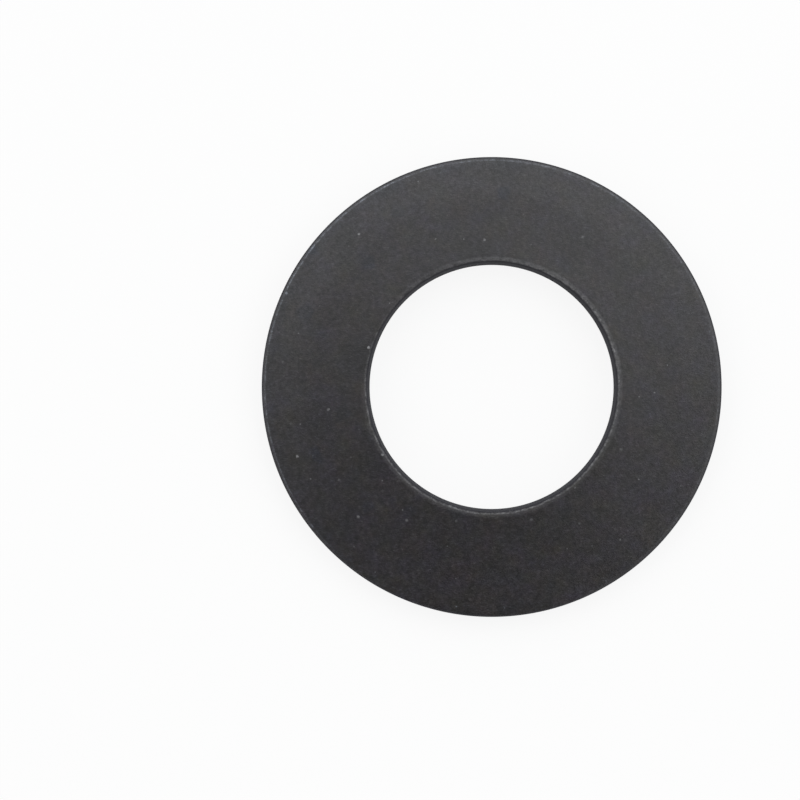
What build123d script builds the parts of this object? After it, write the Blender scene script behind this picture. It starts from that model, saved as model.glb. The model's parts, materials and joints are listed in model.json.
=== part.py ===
from build123d import *
import math
import os

# A conical spring washer, also called a disc spring: one ring of hardened spring steel.
# It is pierced and blanked from flat strip, tumbled, and pressed to a shallow cone. Pressing tips the
# section of the ring without bending it, so the rim and the hole's wall stay square to the cone's faces
# and taper like them. The washer is widest at the rim's upper edge and the hole is narrowest at its lower.
#
# Own frame: millimetres, the axis is Z, and the apex of the cone points up.
# The origin is on the axis, in the plane that the rim's lower edge rests on.

# Driving dimensions
outside_diameter = 23.0     # across the rim's upper edge, its widest place
hole_diameter = 12.2        # across the hole's lower edge, its narrowest place, for a 12 mm bolt or shaft
sheet_thickness = 1.25      # square to the cone's faces
cone_rise = 0.60            # how far the free washer stands above a flat one, which is its whole travel
rolled_edge_radius = 0.30   # the edges that blanking drew in: below at the rim, above at the hole
tumbled_edge_radius = 0.10  # the edges where tumbling took the burr off: above at the rim, below at the hole

# What follows from them
free_height = sheet_thickness + cone_rise
section_span = (outside_diameter - hole_diameter) / 2
section_radius = (outside_diameter + hole_diameter) / 4

# The search for the cone's angle: steepest cone that it looks at, and how often it halves the range
steepest_cone = math.radians(45)
halvings = 50


def strip_width(tilt):
    """The width that the flat ring must have to reach from the hole to the rim when tipped by this angle."""
    span = section_span - 2 * tumbled_edge_radius
    thickness = sheet_thickness - 2 * tumbled_edge_radius
    width = (span - thickness * math.sin(tilt)) / math.cos(tilt)
    return width + 2 * tumbled_edge_radius


def height_when_tipped(tilt):
    """The height from the rim's rolled edge up to the hole's rolled edge, with the section tipped by this angle."""
    width = strip_width(tilt) - 2 * rolled_edge_radius
    thickness = sheet_thickness - 2 * rolled_edge_radius
    return width * math.sin(tilt) + thickness * math.cos(tilt) + 2 * rolled_edge_radius


def cone_angle():
    """The angle between the cone's faces and the base plane, at which the washer has its free height."""
    low = 0.0
    high = steepest_cone
    for _ in range(halvings):
        middle = (low + high) / 2
        if height_when_tipped(middle) < free_height:
            low = middle
        else:
            high = middle
    return (low + high) / 2


def strip_section(width):
    """The flat ring's section, with the hole to the left and the rim to the right. The piercing punch draws in
    the hole's upper edge and the blanking die the rim's lower one, so the rolled corners lie on one diagonal."""
    section = Rectangle(width, sheet_thickness)
    rolled = section.vertices().filter_by(lambda corner: corner.X * corner.Y < 0)
    section = fillet(rolled, rolled_edge_radius)
    tumbled = section.vertices().filter_by(lambda corner: corner.X * corner.Y > 0)
    return fillet(tumbled, tumbled_edge_radius)


def conical_washer():
    """The section, tipped to the cone's angle and carried once round the axis."""
    tilt = cone_angle()
    tipped = Rotation(0, 0, -math.degrees(tilt)) * strip_section(strip_width(tilt))
    placed = Plane.XZ * Pos(section_radius, free_height / 2) * tipped
    return revolve(placed, Axis.Z)


washer = conical_washer()
washer.label = "conical_washer"
os.makedirs("parts", exist_ok=True)
export_step(washer, "parts/conical_washer.step")
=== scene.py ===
import json
import math

import bpy
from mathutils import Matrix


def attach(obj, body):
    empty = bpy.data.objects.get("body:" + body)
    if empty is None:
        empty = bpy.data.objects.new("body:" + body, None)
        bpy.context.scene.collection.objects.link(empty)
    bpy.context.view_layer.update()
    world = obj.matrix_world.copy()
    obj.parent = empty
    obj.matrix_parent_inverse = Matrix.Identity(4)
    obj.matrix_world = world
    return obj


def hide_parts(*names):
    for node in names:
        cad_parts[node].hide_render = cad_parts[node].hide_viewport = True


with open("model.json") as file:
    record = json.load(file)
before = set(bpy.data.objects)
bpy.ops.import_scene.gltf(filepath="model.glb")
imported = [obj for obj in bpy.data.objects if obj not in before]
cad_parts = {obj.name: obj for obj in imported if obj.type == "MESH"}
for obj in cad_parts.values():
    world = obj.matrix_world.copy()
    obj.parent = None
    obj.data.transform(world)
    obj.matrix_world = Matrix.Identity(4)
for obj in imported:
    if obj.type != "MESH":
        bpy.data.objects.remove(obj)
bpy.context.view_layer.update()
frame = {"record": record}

# --- The washer -------------------------------------------------------------------------------------
# One ring of hardened spring steel: pierced and blanked from strip, tumbled, pressed to a shallow cone,
# zinc-phosphated and oiled. Pressing tips the section without bending it, so the walls of the rim and
# the hole stay square to the cone's faces. It lies apex up, on the rim's rolled lower edge.

MM = 0.001
mounts = {mount["name"]: mount for mount in frame["record"]["mounts"]}
outside_diameter = 2 * mounts["rim"]["dims"]["r_mm"] * MM
hole_diameter = 2 * mounts["bolt_hole"]["dims"]["r_mm"] * MM
free_height = mounts["apex_edge"]["pos_m"][2]
strip_thickness = 1.25 * MM
rolled_edge = 0.30 * MM         # drawn in by the blanking tools: the hole's upper edge and the rim's lower
tumbled_edge = 0.10 * MM        # where tumbling took the burr off: the hole's lower edge and the rim's upper
middle_radius = (outside_diameter + hole_diameter) / 4
rim_radius = outside_diameter / 2

# The cone's angle and the flat strip's width depend on each other. Each pass corrects one for the other,
# and long before the last the tipped section reaches from the hole to the rim and stands at the free height.
section_span = (outside_diameter - hole_diameter) / 2
passes = 20
cone_angle = 0.0
for _ in range(passes):
    across_tumbled = section_span - 2 * tumbled_edge
    across_tumbled -= (strip_thickness - 2 * tumbled_edge) * math.sin(cone_angle)
    strip_width = across_tumbled / math.cos(cone_angle) + 2 * tumbled_edge
    rise = free_height - 2 * rolled_edge - (strip_thickness - 2 * rolled_edge) * math.cos(cone_angle)
    cone_angle = math.asin(rise / (strip_width - 2 * rolled_edge))


def add_node(tree, kind, inputs=None, **settings):
    """Adds a node, applies its settings, and gives each input a value or a link. An input goes by its name
    or its number, among those in use. A link comes from a socket, or from a node's first output in use."""
    node = tree.nodes.new(kind)
    for name, value in settings.items():
        setattr(node, name, value)
    in_use = [socket for socket in node.inputs if socket.enabled]
    by_name = {socket.name: socket for socket in reversed(in_use)}
    for name, value in (inputs or {}).items():
        socket = by_name[name] if isinstance(name, str) else in_use[name]
        if isinstance(value, bpy.types.Node):
            value = next(output for output in value.outputs if output.enabled)
        if isinstance(value, bpy.types.NodeSocket):
            tree.links.new(value, socket)
        else:
            socket.default_value = value
    return node


def srgb(hex_colour):
    """The linear colour, with alpha, of an sRGB hex value."""
    shares = [int(hex_colour[place:place + 2], 16) / 255 for place in (1, 3, 5)]
    linear = [share / 12.92 if share <= 0.04045 else ((share + 0.055) / 1.055) ** 2.4 for share in shares]
    return linear + [1.0]


# Zinc phosphate on spring steel, oiled: fine dull crystals that leave the steel dark grey and matt, with
# faint clouds where the coat took thicker. The oil gives it a weak sheen. Handling, and the other washers
# in the box, rub the edges through to lighter steel in short broken lines and leave a few bright nicks.
# Some of the colour is painted light: painted shade on the walls, and a painted highlight in the edge
# lines and on the face towards the softbox.
phosphated_steel = bpy.data.materials.new("zinc_phosphated_spring_steel")
phosphated_steel.use_nodes = True
coat = phosphated_steel.node_tree
coat.nodes.clear()

crystal_size = 0.19 * MM        # real crystals are 0.01 mm, too fine to show, so their clumps are drawn
crystal_height = 0.014 * MM
mottle_size = 0.35 * MM
tint_size = 1.1 * MM
cloud_size = 1.6 * MM
noise_low, noise_high = 0.3, 0.7              # nearly all of a noise's values lie between these
on_washer = add_node(coat, "ShaderNodeTexCoord").outputs["Object"]
crystals = add_node(coat, "ShaderNodeTexNoise",
                    {"Vector": on_washer, "Scale": 1 / crystal_size, "Detail": 3.0, "Roughness": 0.85})
mottles = add_node(coat, "ShaderNodeTexNoise",
                   {"Vector": on_washer, "Scale": 1 / mottle_size, "Detail": 2.0, "Roughness": 0.7})
tints = add_node(coat, "ShaderNodeTexNoise",
                 {"Vector": on_washer, "Scale": 1 / tint_size, "Detail": 3.0, "Roughness": 0.6})
clouds = add_node(coat, "ShaderNodeTexNoise",
                  {"Vector": on_washer, "Scale": 1 / cloud_size, "Detail": 4.0, "Roughness": 0.6})

# Where a point lies: on the plan, out from the axis, round it, how far across a rounded edge it is, from 0
# on the faces to 1 on the walls, and how far in from the wall
on_plan = add_node(coat, "ShaderNodeVectorMath", {0: on_washer, 1: (1.0, 1.0, 0.0)}, operation="MULTIPLY")
radius = add_node(coat, "ShaderNodeVectorMath", {0: on_plan}, operation="LENGTH")
heading = add_node(coat, "ShaderNodeVectorMath", {0: on_plan}, operation="NORMALIZE")
at_hole = add_node(coat, "ShaderNodeMath", {0: radius, 1: middle_radius}, operation="LESS_THAN")
wall = add_node(coat, "ShaderNodeAttribute", attribute_name="wall").outputs["Fac"]
from_wall = add_node(coat, "ShaderNodeAttribute", attribute_name="from_wall").outputs["Fac"]


def scattered(outline, reach, spacing, size, core, rarity, most, fade):
    """Spots scattered at random, about one to each square of the spacing, less those that the rarity leaves
    out. Their outlines stray from round by a noise's colour times the reach. A spot is full out to its
    core, a share of its size, and the strengths run up to the most."""
    strayed = add_node(coat, "ShaderNodeVectorMath",
                       {0: outline.outputs["Color"], 1: (reach, reach, 0.0), 2: on_plan},
                       operation="MULTIPLY_ADD")
    cells = add_node(coat, "ShaderNodeTexVoronoi", {"Vector": strayed, "Scale": 1 / spacing},
                     voronoi_dimensions="2D").outputs
    spot = add_node(coat, "ShaderNodeMapRange",
                    {"Value": cells["Distance"], "From Min": size / spacing,
                     "From Max": core * size / spacing}, interpolation_type=fade)
    strength = add_node(coat, "ShaderNodeMapRange",
                        {"Value": cells["Color"], "From Min": rarity, "From Max": (1 + rarity) / 2,
                         "To Max": most})
    return add_node(coat, "ShaderNodeMath", {0: spot, 1: strength}, operation="MULTIPLY")


def share_towards(towards, fades_from, fades_to, most, least=0.0):
    """A share that changes round the washer: most towards one direction, and least away from it. The two
    limits that it fades between are cosines of the angle from that direction."""
    facing = add_node(coat, "ShaderNodeVectorMath", {0: heading, 1: (*towards, 0.0)}, operation="DOT_PRODUCT")
    return add_node(coat, "ShaderNodeMapRange",
                    {"Value": facing, "From Min": fades_to, "From Max": fades_from,
                     "To Min": least, "To Max": most})


# The coat's clouds and tints, the places where it took thickest, bluer stains where the oil dried, and
# its grain. One side of the washer is more marked than the rest.
cloud_share = add_node(coat, "ShaderNodeMapRange",
                       {"Value": clouds, "From Min": noise_low, "From Max": noise_high})
clouded = add_node(coat, "ShaderNodeMix", {"Factor": cloud_share, "A": srgb("#1f1c1f"), "B": srgb("#262326")},
                   data_type="RGBA")
tint_swing = (0.5, 0.25, 1.3)       # of the red, the green and the blue, each round its full value
tint_base = [1 - swing / 2 for swing in tint_swing]
tint = add_node(coat, "ShaderNodeVectorMath", {0: tints.outputs["Color"], 1: tint_swing, 2: tint_base},
                operation="MULTIPLY_ADD")
tinted = add_node(coat, "ShaderNodeVectorMath", {0: clouded, 1: tint}, operation="MULTIPLY")
marked_side = share_towards(towards=(-0.7, 0.7), fades_from=0.8, fades_to=-0.4, most=1.0, least=0.2)
thick_spots = scattered(outline=tints, reach=1.2 * MM, spacing=3.0 * MM, size=1.5 * MM, core=0.2,
                        rarity=0.3, most=0.7, fade="SMOOTHSTEP")
thick_share = add_node(coat, "ShaderNodeMath", {0: thick_spots, 1: marked_side}, operation="MULTIPLY")
thickened = add_node(coat, "ShaderNodeMix", {"Factor": thick_share, "A": tinted, "B": srgb("#131214")},
                     data_type="RGBA")
stain_spots = scattered(outline=tints, reach=0.9 * MM, spacing=2.6 * MM, size=0.45 * MM, core=0.6,
                        rarity=0.4, most=1.0, fade="LINEAR")
stain_share = add_node(coat, "ShaderNodeMath", {0: stain_spots, 1: marked_side}, operation="MULTIPLY")
stained = add_node(coat, "ShaderNodeMix", {"Factor": stain_share, "A": thickened, "B": srgb("#121520")},
                   data_type="RGBA")
crystal_swing, mottle_swing = 0.6, 0.35
crystal_shade = add_node(coat, "ShaderNodeMapRange",
                         {"Value": crystals, "From Min": noise_low, "From Max": noise_high,
                          "To Min": 1 - crystal_swing, "To Max": 1 + crystal_swing})
mottle_shade = add_node(coat, "ShaderNodeMapRange",
                        {"Value": mottles, "From Min": noise_low, "From Max": noise_high,
                         "To Min": 1 - mottle_swing, "To Max": 1 + mottle_swing})
grain = add_node(coat, "ShaderNodeMath", {0: crystal_shade, 1: mottle_shade}, operation="MULTIPLY")
grained = add_node(coat, "ShaderNodeVectorMath", {0: stained, 1: grain}, operation="MULTIPLY")

# The walls, which the tools sheared, are painted blacker and bluer than the faces: painted shade for the dark
# of the hole's walls and of the rim's outline. It begins and is full at these shares of the rounded edge's
# width, nearer the face at the rim than at the hole.
rim_begins, rim_full = 0.0, 0.3
hole_begins, hole_full = 0.6, 0.95
wall_shade_from = add_node(coat, "ShaderNodeMapRange",
                      {"Value": at_hole, "To Min": rim_begins, "To Max": hole_begins})
wall_shade_to = add_node(coat, "ShaderNodeMapRange", {"Value": at_hole, "To Min": rim_full, "To Max": hole_full})
wall_shade_share = add_node(coat, "ShaderNodeMapRange",
                       {"Value": wall, "From Min": wall_shade_from, "From Max": wall_shade_to})
# the walls' painted shade, mixed over the coat
coat_and_wall_shade = add_node(coat, "ShaderNodeMix", {"Factor": wall_shade_share, "A": grained, "B": srgb("#080817")},
                      data_type="RGBA")


def stripe(distance, place, reach, strengths):
    """A soft stripe, full at its place and gone at its reach from it, as strong as all its strengths make
    it together."""
    off = add_node(coat, "ShaderNodeMath", {0: distance, 1: place}, operation="SUBTRACT")
    away = add_node(coat, "ShaderNodeMath", {0: off}, operation="ABSOLUTE")
    drawn = add_node(coat, "ShaderNodeMapRange", {"Value": away, "From Min": reach, "From Max": 0.0},
                     interpolation_type="SMOOTHSTEP")
    for strength in strengths:
        drawn = add_node(coat, "ShaderNodeMath", {0: drawn, 1: strength}, operation="MULTIPLY")
    return drawn


# The rounded edges: a fine broken line along each, which wanders a little, and a soft pale band beside the
# hole's. The line is more broken at the rim than at the hole, where even its breaks keep some of it. The
# lines are real wear, but how strong they and the band are round the ring follows where the light falls
# on the edge: a painted highlight.
rub_length = 0.5 * MM
rubs = add_node(coat, "ShaderNodeTexNoise",
                {"Vector": on_washer, "Scale": 1 / rub_length, "Detail": 4.0, "Roughness": 0.7})
rub_breaks = add_node(coat, "ShaderNodeMapRange",
                      {"Value": rubs, "From Min": 0.38, "From Max": 0.64, "To Min": 0.2, "To Max": 1.2})
rub_grains = add_node(coat, "ShaderNodeMapRange",
                      {"Value": crystals, "From Min": 0.4, "From Max": 0.64, "To Min": 0.5, "To Max": 1.7})
broken = add_node(coat, "ShaderNodeMath", {0: rub_breaks, 1: rub_grains}, operation="MULTIPLY")
kept_in_breaks, added_between = 0.33, 0.5
less_broken = add_node(coat, "ShaderNodeMath", {0: broken, 1: added_between, 2: kept_in_breaks},
                       operation="MULTIPLY_ADD")
wander = 0.12 * MM
wandering = add_node(coat, "ShaderNodeMath", {0: rubs, 1: wander, 2: from_wall}, operation="MULTIPLY_ADD")
hole_highlight_side = share_towards(towards=(0.57, -0.82), fades_from=-0.3, fades_to=-1.0, most=0.40, least=0.12)
hole_line = stripe(wandering, place=0.10 * MM + wander / 2, reach=0.065 * MM,
                   strengths=[hole_highlight_side, less_broken])
rim_highlight_left = share_towards(towards=(-0.68, 0.73), fades_from=1.0, fades_to=-0.4, most=0.34)
rim_highlight_right = share_towards(towards=(1.0, 0.1), fades_from=1.0, fades_to=0.0, most=0.08)
rim_highlight_side = add_node(coat, "ShaderNodeMath", {0: rim_highlight_left, 1: rim_highlight_right}, operation="ADD")
rim_line = stripe(wandering, place=0.18 * MM + wander / 2, reach=0.06 * MM, strengths=[rim_highlight_side, broken])
line = add_node(coat, "ShaderNodeMix", {"Factor": at_hole, "A": rim_line, "B": hole_line}, data_type="FLOAT")
band_highlight_side = share_towards(towards=(0.57, 0.82), fades_from=1.0, fades_to=-0.2, most=0.25)
band = stripe(from_wall, place=0.17 * MM, reach=0.15 * MM, strengths=[band_highlight_side, at_hole])

# The faces are painted a little paler towards the rim on the side that faces the softbox: painted light
face_light_full = rim_radius - 1.1 * MM
near_rim = add_node(coat, "ShaderNodeMapRange",
                    {"Value": radius, "From Min": middle_radius, "From Max": face_light_full},
                    interpolation_type="SMOOTHSTEP")
face_light_side = share_towards(towards=(-0.34, 0.94), fades_from=1.0, fades_to=-0.4, most=0.055)
face_painted_light = add_node(coat, "ShaderNodeMath", {0: near_rim, 1: face_light_side}, operation="MULTIPLY")

# Fine scratches from other washers, in three directions
scratch_length, scratch_width = 0.22 * MM, 0.05 * MM
scratch_strength = 0.08
scratch = 0.0
for lie in (15, 75, 135):
    laid = add_node(coat, "ShaderNodeMapping",
                    {"Vector": on_plan, "Rotation": (0.0, 0.0, math.radians(lie)),
                     "Scale": (1 / scratch_length, 1 / scratch_width, 1.0)})
    streaks = add_node(coat, "ShaderNodeTexNoise", {"Vector": laid, "Scale": 1.0, "Detail": 1.0})
    sharp = add_node(coat, "ShaderNodeMapRange",
                     {"Value": streaks, "From Min": 0.58, "From Max": 0.76, "To Max": scratch_strength})
    scratch = add_node(coat, "ShaderNodeMath", {0: sharp, 1: scratch}, operation="MAXIMUM")

# Bright nicks from handling and finer specks, scattered over the faces, and small nicks close together
# along one side of the hole's edge. None goes on down a wall.
nick_reach = 0.18 * MM
nick_spots = scattered(outline=crystals, reach=nick_reach, spacing=3.0 * MM, size=0.09 * MM, core=0.4,
                       rarity=0.4, most=1.0, fade="LINEAR")
nick = add_node(coat, "ShaderNodeMath", {0: nick_spots, 1: marked_side}, operation="MULTIPLY")
speck = scattered(outline=crystals, reach=nick_reach, spacing=1.5 * MM, size=0.053 * MM, core=0.29,
                  rarity=0.55, most=0.5, fade="LINEAR")
nick_or_speck = add_node(coat, "ShaderNodeMath", {0: nick, 1: speck}, operation="MAXIMUM")
least_broken = add_node(coat, "ShaderNodeMapRange", {"Value": broken, "From Min": 0.75, "From Max": 1.2})
nicked_edge = share_towards(towards=(0.9, 0.43), fades_from=0.95, fades_to=0.8, most=0.9)
edge_nick = stripe(from_wall, place=0.13 * MM, reach=0.06 * MM,
                   strengths=[least_broken, nicked_edge, at_hole])
brightest = add_node(coat, "ShaderNodeMath", {0: nick_or_speck, 1: edge_nick}, operation="MAXIMUM")
off_wall = add_node(coat, "ShaderNodeMapRange", {"Value": wall, "From Min": 1.0, "From Max": 0.8})
marks = add_node(coat, "ShaderNodeMath", {0: brightest, 1: off_wall}, operation="MULTIPLY")

# All of these are painted as paler steel, bluer on the rim's edge, and the lines and nicks shine a little as
# bare metal. The lines, nicks and scratches are real wear. The strength of the lines and the band round the
# ring is a painted highlight, the faces' paler patch is painted light, and the rim's bluer steel is a
# painted cool reflection. The patch and scratches of the faces end where the walls' painted shade begins.
edge_wear_and_highlight = add_node(coat, "ShaderNodeMath", {0: line, 1: band}, operation="ADD")
# the faces' painted light, with the real scratches
face_light_and_scratches = add_node(coat, "ShaderNodeMath", {0: face_painted_light, 1: scratch}, operation="ADD")
on_face = add_node(coat, "ShaderNodeMath", {0: 1.0, 1: wall_shade_share}, operation="SUBTRACT")
wear_and_painted_light = add_node(coat, "ShaderNodeMath", {0: face_light_and_scratches, 1: on_face, 2: edge_wear_and_highlight},
                  operation="MULTIPLY_ADD")
grained_wear_and_light = add_node(coat, "ShaderNodeMath", {0: wear_and_painted_light, 1: crystal_shade}, operation="MULTIPLY")
pale_share = add_node(coat, "ShaderNodeMath", {0: grained_wear_and_light, 1: marks}, operation="MAXIMUM")
# the rim's bluer steel is a painted cool reflection
rim_edge_begins, rim_edge_full = rim_radius - 0.7 * MM, rim_radius - 0.4 * MM
at_rim = add_node(coat, "ShaderNodeMapRange",
                  {"Value": radius, "From Min": rim_edge_begins, "From Max": rim_edge_full})
pale_steel = add_node(coat, "ShaderNodeMix", {"Factor": at_rim, "A": srgb("#8d8d8f"), "B": srgb("#888d97")},
                      data_type="RGBA")
surface_colour = add_node(coat, "ShaderNodeMix", {"Factor": pale_share, "A": coat_and_wall_shade, "B": pale_steel},
                          data_type="RGBA")
line_or_mark = add_node(coat, "ShaderNodeMath", {0: line, 1: marks}, operation="MAXIMUM")
most_bare = 0.3
face_roughness, wall_roughness = 0.42, 0.95
bare = add_node(coat, "ShaderNodeMath", {0: line_or_mark, 1: most_bare}, operation="MULTIPLY")
dullness = add_node(coat, "ShaderNodeMapRange",
                    {"Value": wall, "To Min": face_roughness, "To Max": wall_roughness})
relief = add_node(coat, "ShaderNodeBump", {"Height": crystals, "Distance": crystal_height, "Strength": 1.0})
surface = add_node(coat, "ShaderNodeBsdfPrincipled",
                   {"Base Color": surface_colour, "Metallic": bare, "Roughness": dullness, "IOR": 1.58,
                    "Normal": relief})
add_node(coat, "ShaderNodeOutputMaterial", {"Surface": surface})

# The shape: the strip's section, tipped by the cone's angle and carried once round the axis
ring = bpy.data.node_groups.new("pressed_ring", "GeometryNodeTree")
ring.interface.new_socket("Geometry", in_out="OUTPUT", socket_type="NodeSocketGeometry")
ring_inputs = {
    "Strip Width": strip_width,
    "Strip Thickness": strip_thickness,
    "Rolled Edge": rolled_edge,
    "Tumbled Edge": tumbled_edge,
    "Cone Angle": cone_angle,
    "Section Radius": middle_radius,
    "Section Height": free_height / 2,
    "Roll Fullness": 3.0,
    "Worn Width": 0.30 * MM,
    "Worn Depth": 0.03 * MM,
    "Longest Step": 0.12 * MM,
    "Steps Round": 620,
    "Steps Over An Edge": 12,
    "Dent Depth": 0.020 * MM,
    "Dent Length": 0.35 * MM,
    "Seed": 4.0,
}
for name, value in ring_inputs.items():
    kind = "NodeSocketInt" if isinstance(value, int) else "NodeSocketFloat"
    ring.interface.new_socket(name, in_out="INPUT", socket_type=kind)
sizes = add_node(ring, "NodeGroupInput").outputs

# Curve to Mesh lays this section with its X outwards and its Y downwards, so its rolled corners, above
# at the hole and below at the rim, are those where X and Y have the same sign.
strip = add_node(ring, "GeometryNodeCurvePrimitiveQuadrilateral",
                 {"Width": sizes["Strip Width"], "Height": sizes["Strip Thickness"]}, mode="RECTANGLE")
here = add_node(ring, "GeometryNodeInputPosition")
apart = add_node(ring, "ShaderNodeSeparateXYZ", {"Vector": here}).outputs
diagonal = add_node(ring, "ShaderNodeMath", {0: apart["X"], 1: apart["Y"]}, operation="MULTIPLY")
is_rolled = add_node(ring, "FunctionNodeCompare", {"A": diagonal, "B": 0.0}, operation="GREATER_THAN")
corner_radius = add_node(ring, "GeometryNodeSwitch",
                         {"Switch": is_rolled, "False": sizes["Tumbled Edge"], "True": sizes["Rolled Edge"]},
                         input_type="FLOAT")
rounded = add_node(ring, "GeometryNodeFilletCurve",
                   {"Curve": strip, "Radius": corner_radius, "Count": sizes["Steps Over An Edge"]},
                   mode="POLY")

# The straight sides are cut until no step is longer than the longest step
points = add_node(ring, "GeometryNodeAttributeDomainSize", {"Geometry": rounded}, component="CURVE")
index = add_node(ring, "GeometryNodeInputIndex")
after = add_node(ring, "ShaderNodeMath", {0: index, 1: 1.0}, operation="ADD")
next_index = add_node(ring, "ShaderNodeMath", {0: after, 1: points.outputs["Point Count"]},
                      operation="MODULO")
there = add_node(ring, "GeometryNodeFieldAtIndex", {"Index": next_index, "Value": here},
                 data_type="FLOAT_VECTOR")
step = add_node(ring, "ShaderNodeVectorMath", {0: here, 1: there}, operation="DISTANCE")
cuts = add_node(ring, "ShaderNodeMath", {0: step, 1: sizes["Longest Step"]}, operation="DIVIDE")
divided = add_node(ring, "GeometryNodeSubdivideCurve", {"Curve": rounded, "Cuts": cuts})

# How far round a corner each point lies, across and up, in units of the corner's radius. The two multiplied
# are a half at the corner's middle, where the edge's share is full, and nothing at its ends.
section_size = add_node(ring, "ShaderNodeCombineXYZ",
                        {"X": sizes["Strip Width"], "Y": sizes["Strip Thickness"]})
half_size = add_node(ring, "ShaderNodeVectorMath", {0: section_size, "Scale": 0.5}, operation="SCALE")
folded = add_node(ring, "ShaderNodeVectorMath", {0: here}, operation="ABSOLUTE")
inside = add_node(ring, "ShaderNodeVectorMath", {0: half_size, 1: folded}, operation="SUBTRACT")
wall_distance = add_node(ring, "ShaderNodeSeparateXYZ", {"Vector": inside}).outputs["X"]
short_of = add_node(ring, "ShaderNodeVectorMath", {0: corner_radius, 1: inside}, operation="SUBTRACT")
turned = add_node(ring, "ShaderNodeVectorMath", {0: short_of, 1: corner_radius}, operation="DIVIDE")
corner = add_node(ring, "ShaderNodeVectorMath", {0: turned, 1: (0.0, 0.0, 0.0)}, operation="MAXIMUM")
round_corner = add_node(ring, "ShaderNodeSeparateXYZ", {"Vector": corner}).outputs
product = add_node(ring, "ShaderNodeMath", {0: round_corner["X"], 1: round_corner["Y"]}, operation="MULTIPLY")
edge_share = add_node(ring, "ShaderNodeMath", {0: product, 1: 2.0}, operation="MULTIPLY")
marked = divided
for name, value in (("edge", edge_share), ("wall", round_corner["X"]), ("from_wall", wall_distance)):
    marked = add_node(ring, "GeometryNodeStoreNamedAttribute",
                      {"Geometry": marked, "Name": name, "Value": value}, data_type="FLOAT", domain="POINT")

# A rolled edge isn't a true arc: it turns slowly from the face and from the wall, and tightens between
# them. Each of its points moves out along its own direction, from the circle to a curve of a higher power.
circle_power = 2.0
fullness = add_node(ring, "GeometryNodeSwitch",
                    {"Switch": is_rolled, "False": circle_power, "True": sizes["Roll Fullness"]},
                    input_type="FLOAT")
across_power = add_node(ring, "ShaderNodeMath", {0: round_corner["X"], 1: fullness}, operation="POWER")
up_power = add_node(ring, "ShaderNodeMath", {0: round_corner["Y"], 1: fullness}, operation="POWER")
powers = add_node(ring, "ShaderNodeMath", {0: across_power, 1: up_power}, operation="ADD")
root = add_node(ring, "ShaderNodeMath", {0: -1.0, 1: fullness}, operation="DIVIDE")
reach = add_node(ring, "ShaderNodeMath", {0: powers, 1: root}, operation="POWER")
beyond = add_node(ring, "ShaderNodeMath", {0: reach, 1: 1.0}, operation="SUBTRACT")
bulge = add_node(ring, "ShaderNodeMath", {0: beyond, 1: corner_radius}, operation="MULTIPLY")
side = add_node(ring, "ShaderNodeVectorMath", {0: here}, operation="SIGN")
outwards = add_node(ring, "ShaderNodeVectorMath", {0: corner, 1: side}, operation="MULTIPLY")
bulging = add_node(ring, "ShaderNodeVectorMath", {0: outwards, "Scale": bulge}, operation="SCALE")

# Tumbling also wears the faces down a little towards the tumbled edges, and more the nearer the wall
wear_power = 2.0
towards_wall = add_node(ring, "ShaderNodeMapRange",
                        {"Value": wall_distance, "From Min": sizes["Worn Width"], "From Max": 0.0})
worn_share = add_node(ring, "ShaderNodeMath", {0: towards_wall, 1: wear_power}, operation="POWER")
is_tumbled = add_node(ring, "ShaderNodeMath", {0: 1.0, 1: is_rolled}, operation="SUBTRACT")
worn_here = add_node(ring, "ShaderNodeMath", {0: worn_share, 1: is_tumbled}, operation="MULTIPLY")
half_thickness = add_node(ring, "ShaderNodeMath", {0: sizes["Strip Thickness"], 1: 2.0}, operation="DIVIDE")
droop = add_node(ring, "ShaderNodeMath", {0: sizes["Worn Depth"], 1: half_thickness}, operation="DIVIDE")
squeeze = add_node(ring, "ShaderNodeMath", {0: worn_here, 1: droop}, operation="MULTIPLY")
lowering = add_node(ring, "ShaderNodeMath", {0: apart["Y"], 1: squeeze}, operation="MULTIPLY")
worn_down = add_node(ring, "ShaderNodeCombineXYZ", {"Y": lowering})
edge_offset = add_node(ring, "ShaderNodeVectorMath", {0: bulging, 1: worn_down}, operation="SUBTRACT")
worn = add_node(ring, "GeometryNodeSetPosition", {"Geometry": marked, "Offset": edge_offset})

tip = add_node(ring, "ShaderNodeCombineXYZ", {"Z": sizes["Cone Angle"]})
tipped = add_node(ring, "GeometryNodeTransform", {"Geometry": worn, "Rotation": tip})
path = add_node(ring, "GeometryNodeCurvePrimitiveCircle",
                {"Resolution": sizes["Steps Round"], "Radius": sizes["Section Radius"]}, mode="RADIUS")
swept = add_node(ring, "GeometryNodeCurveToMesh", {"Curve": path, "Profile Curve": tipped})
lift = add_node(ring, "ShaderNodeCombineXYZ", {"Z": sizes["Section Height"]})
lifted = add_node(ring, "GeometryNodeTransform", {"Geometry": swept, "Translation": lift})

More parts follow.
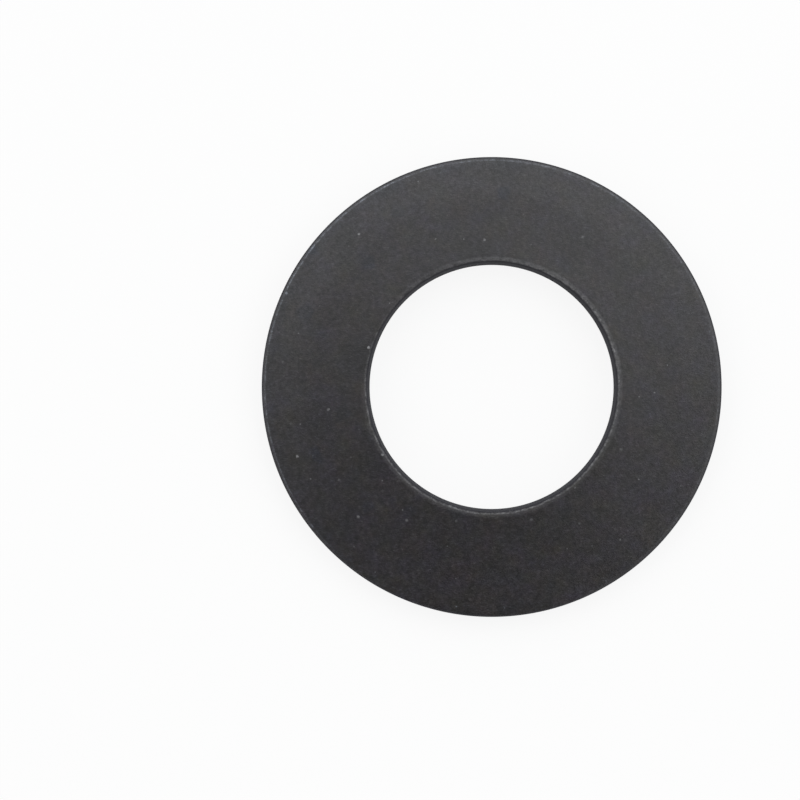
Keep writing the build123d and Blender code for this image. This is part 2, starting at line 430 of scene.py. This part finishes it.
# Tumbling leaves the edges slightly dented
dent_scale = add_node(ring, "ShaderNodeMath", {0: 1.0, 1: sizes["Dent Length"]}, operation="DIVIDE")
dent_noise = add_node(ring, "ShaderNodeTexNoise",
                      {"Vector": here, "W": sizes["Seed"], "Scale": dent_scale, "Detail": 2.0},
                      noise_dimensions="4D")
dent_share = add_node(ring, "ShaderNodeMapRange",
                      {"Value": dent_noise, "From Min": noise_low, "From Max": noise_high,
                       "To Min": -1.0, "To Max": 0.0})
on_edge = add_node(ring, "GeometryNodeInputNamedAttribute", {"Name": "edge"}, data_type="FLOAT")
dent = add_node(ring, "ShaderNodeMath", {0: dent_share, 1: on_edge}, operation="MULTIPLY")
dent_depth = add_node(ring, "ShaderNodeMath", {0: dent, 1: sizes["Dent Depth"]}, operation="MULTIPLY")
dent_offset = add_node(ring, "ShaderNodeVectorMath",
                       {0: add_node(ring, "GeometryNodeInputNormal"), "Scale": dent_depth}, operation="SCALE")
dented = add_node(ring, "GeometryNodeSetPosition", {"Geometry": lifted, "Offset": dent_offset})

smooth = add_node(ring, "GeometryNodeSetShadeSmooth", {"Geometry": dented})
real = add_node(ring, "GeometryNodeRealizeInstances", {"Geometry": smooth})
finished = add_node(ring, "GeometryNodeSetMaterial", {"Geometry": real, "Material": phosphated_steel})
add_node(ring, "NodeGroupOutput", {"Geometry": finished})

washer = bpy.data.objects.new("pressed_washer", bpy.data.meshes.new("pressed_washer"))
bpy.context.collection.objects.link(washer)
pressing = washer.modifiers.new("pressed_ring", "NODES")
pressing.node_group = ring
for socket in ring.interface.items_tree:
    if socket.in_out == "INPUT":
        pressing[socket.identifier] = ring_inputs[socket.name]
shape = bpy.data.meshes.new_from_object(washer.evaluated_get(bpy.context.evaluated_depsgraph_get()))
washer.modifiers.remove(pressing)
washer.data = shape

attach(washer, "root")
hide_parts("conical_washer")

# --- The floor --------------------------------------------------------------------------------------
# A wide sheet of white card under the washer, matt, with no join or pattern. Most of what a viewer or a
# reflection sees of it is its own even white, and the rest is the light on it, which keeps the shadow.

floor_half = 1.0
floor_shape = bpy.data.meshes.new("floor")
floor_corners = [(-floor_half, -floor_half, 0.0), (floor_half, -floor_half, 0.0),
                 (floor_half, floor_half, 0.0), (-floor_half, floor_half, 0.0)]
floor_shape.from_pydata(floor_corners, [], [(0, 1, 2, 3)])
floor = bpy.data.objects.new("floor", floor_shape)
bpy.context.collection.objects.link(floor)

card = bpy.data.materials.new("white_card")
card.use_nodes = True
paper = card.node_tree
paper.nodes.clear()
most_even = 0.88
rays = add_node(paper, "ShaderNodeLightPath").outputs
camera_or_gloss = add_node(paper, "ShaderNodeMath", {0: rays["Is Camera Ray"], 1: rays["Is Glossy Ray"]},
                           operation="MAXIMUM")
seen = add_node(paper, "ShaderNodeMath", {0: camera_or_gloss, 1: rays["Is Transmission Ray"]},
                operation="MAXIMUM")
even_share = add_node(paper, "ShaderNodeMath", {0: seen, 1: most_even}, operation="MULTIPLY")
matt = add_node(paper, "ShaderNodeBsdfDiffuse", {"Color": srgb("#f7f7f7")})
even = add_node(paper, "ShaderNodeEmission", {"Color": srgb("#ffffff"), "Strength": 1.0})
mixed = add_node(paper, "ShaderNodeMixShader", {0: even_share, 1: matt, 2: even})
add_node(paper, "ShaderNodeOutputMaterial", {"Surface": mixed})
floor.data.materials.append(card)

# --- The light --------------------------------------------------------------------------------------
# A white tent with a dark oval opening overhead, on the near side of the washer, and a long softbox
# high behind it. The opening darkens what the near side of the cone reflects and the softbox lifts the
# far side, which is what tells the eye that the washer is a cone.

opening_centre = (-0.053, -0.336, 0.0)      # across and along the floor, for a view direction of length 1
opening_half_size = (0.436, 0.80)
opening_blur = 0.08
opening_glow = 0.02
tent = bpy.data.worlds.new("light_tent")
tent.use_nodes = True
tent_tree = tent.node_tree
tent_tree.nodes.clear()
direction = add_node(tent_tree, "ShaderNodeTexCoord").outputs["Generated"]
from_centre = add_node(tent_tree, "ShaderNodeVectorMath", {0: direction, 1: opening_centre},
                       operation="SUBTRACT")
oval = add_node(tent_tree, "ShaderNodeVectorMath",
                {0: from_centre, 1: (*[1 / size for size in opening_half_size], 0.0)}, operation="MULTIPLY")
from_middle = add_node(tent_tree, "ShaderNodeVectorMath", {0: oval}, operation="LENGTH")
glow = add_node(tent_tree, "ShaderNodeMapRange",
                {"Value": from_middle, "From Min": 1 - opening_blur, "From Max": 1 + opening_blur,
                 "To Min": opening_glow, "To Max": 1.0}, interpolation_type="SMOOTHSTEP")
tent_light = add_node(tent_tree, "ShaderNodeBackground", {"Color": srgb("#ffffff"), "Strength": glow})
add_node(tent_tree, "ShaderNodeOutputWorld", {"Surface": tent_light})
bpy.context.scene.world = tent

softbox_distance = 0.20
softbox_width, softbox_length = 0.20, 0.60
softbox_brightness = 0.75       # added to the tent behind it
softbox_tilt = math.radians(30)
softbox_turn = math.radians(78)
softbox = bpy.data.lights.new("softbox", "AREA")
softbox.shape = "RECTANGLE"
softbox.size = softbox_width
softbox.size_y = softbox_length
softbox.color = srgb("#f9fdff")[:3]         # a little cooler than the tent
softbox.energy = math.pi * softbox_width * softbox_length * softbox_brightness
softbox_stand = bpy.data.objects.new("softbox", softbox)
softbox_stand.location = (softbox_distance * math.sin(softbox_tilt) * math.cos(softbox_turn),
                          softbox_distance * math.sin(softbox_tilt) * math.sin(softbox_turn),
                          softbox_distance * math.cos(softbox_tilt))
softbox_stand.rotation_euler = (0.0, softbox_tilt, softbox_turn)
softbox_stand.visible_camera = False
bpy.context.collection.objects.link(softbox_stand)

# --- The camera -------------------------------------------------------------------------------------
# It looks straight down, from far enough for the cone to keep its true proportions. The washer takes a
# little over half of the picture's width and lies right of its middle.

washer_share = 0.5755           # of the picture's width, as are the next two
right_of_middle = 0.1147
above_middle = 0.0163
picture_width = outside_diameter / washer_share
camera = bpy.data.cameras.new("camera")
camera.lens = 200
camera.clip_start = 0.01
camera_distance = picture_width * camera.lens / camera.sensor_width
camera_stand = bpy.data.objects.new("camera", camera)
camera_stand.location = (-right_of_middle * picture_width, -above_middle * picture_width,
                         free_height - strip_thickness / 2 + camera_distance)
bpy.context.collection.objects.link(camera_stand)
bpy.context.scene.camera = camera_stand

bpy.context.scene.view_settings.view_transform = "Standard"
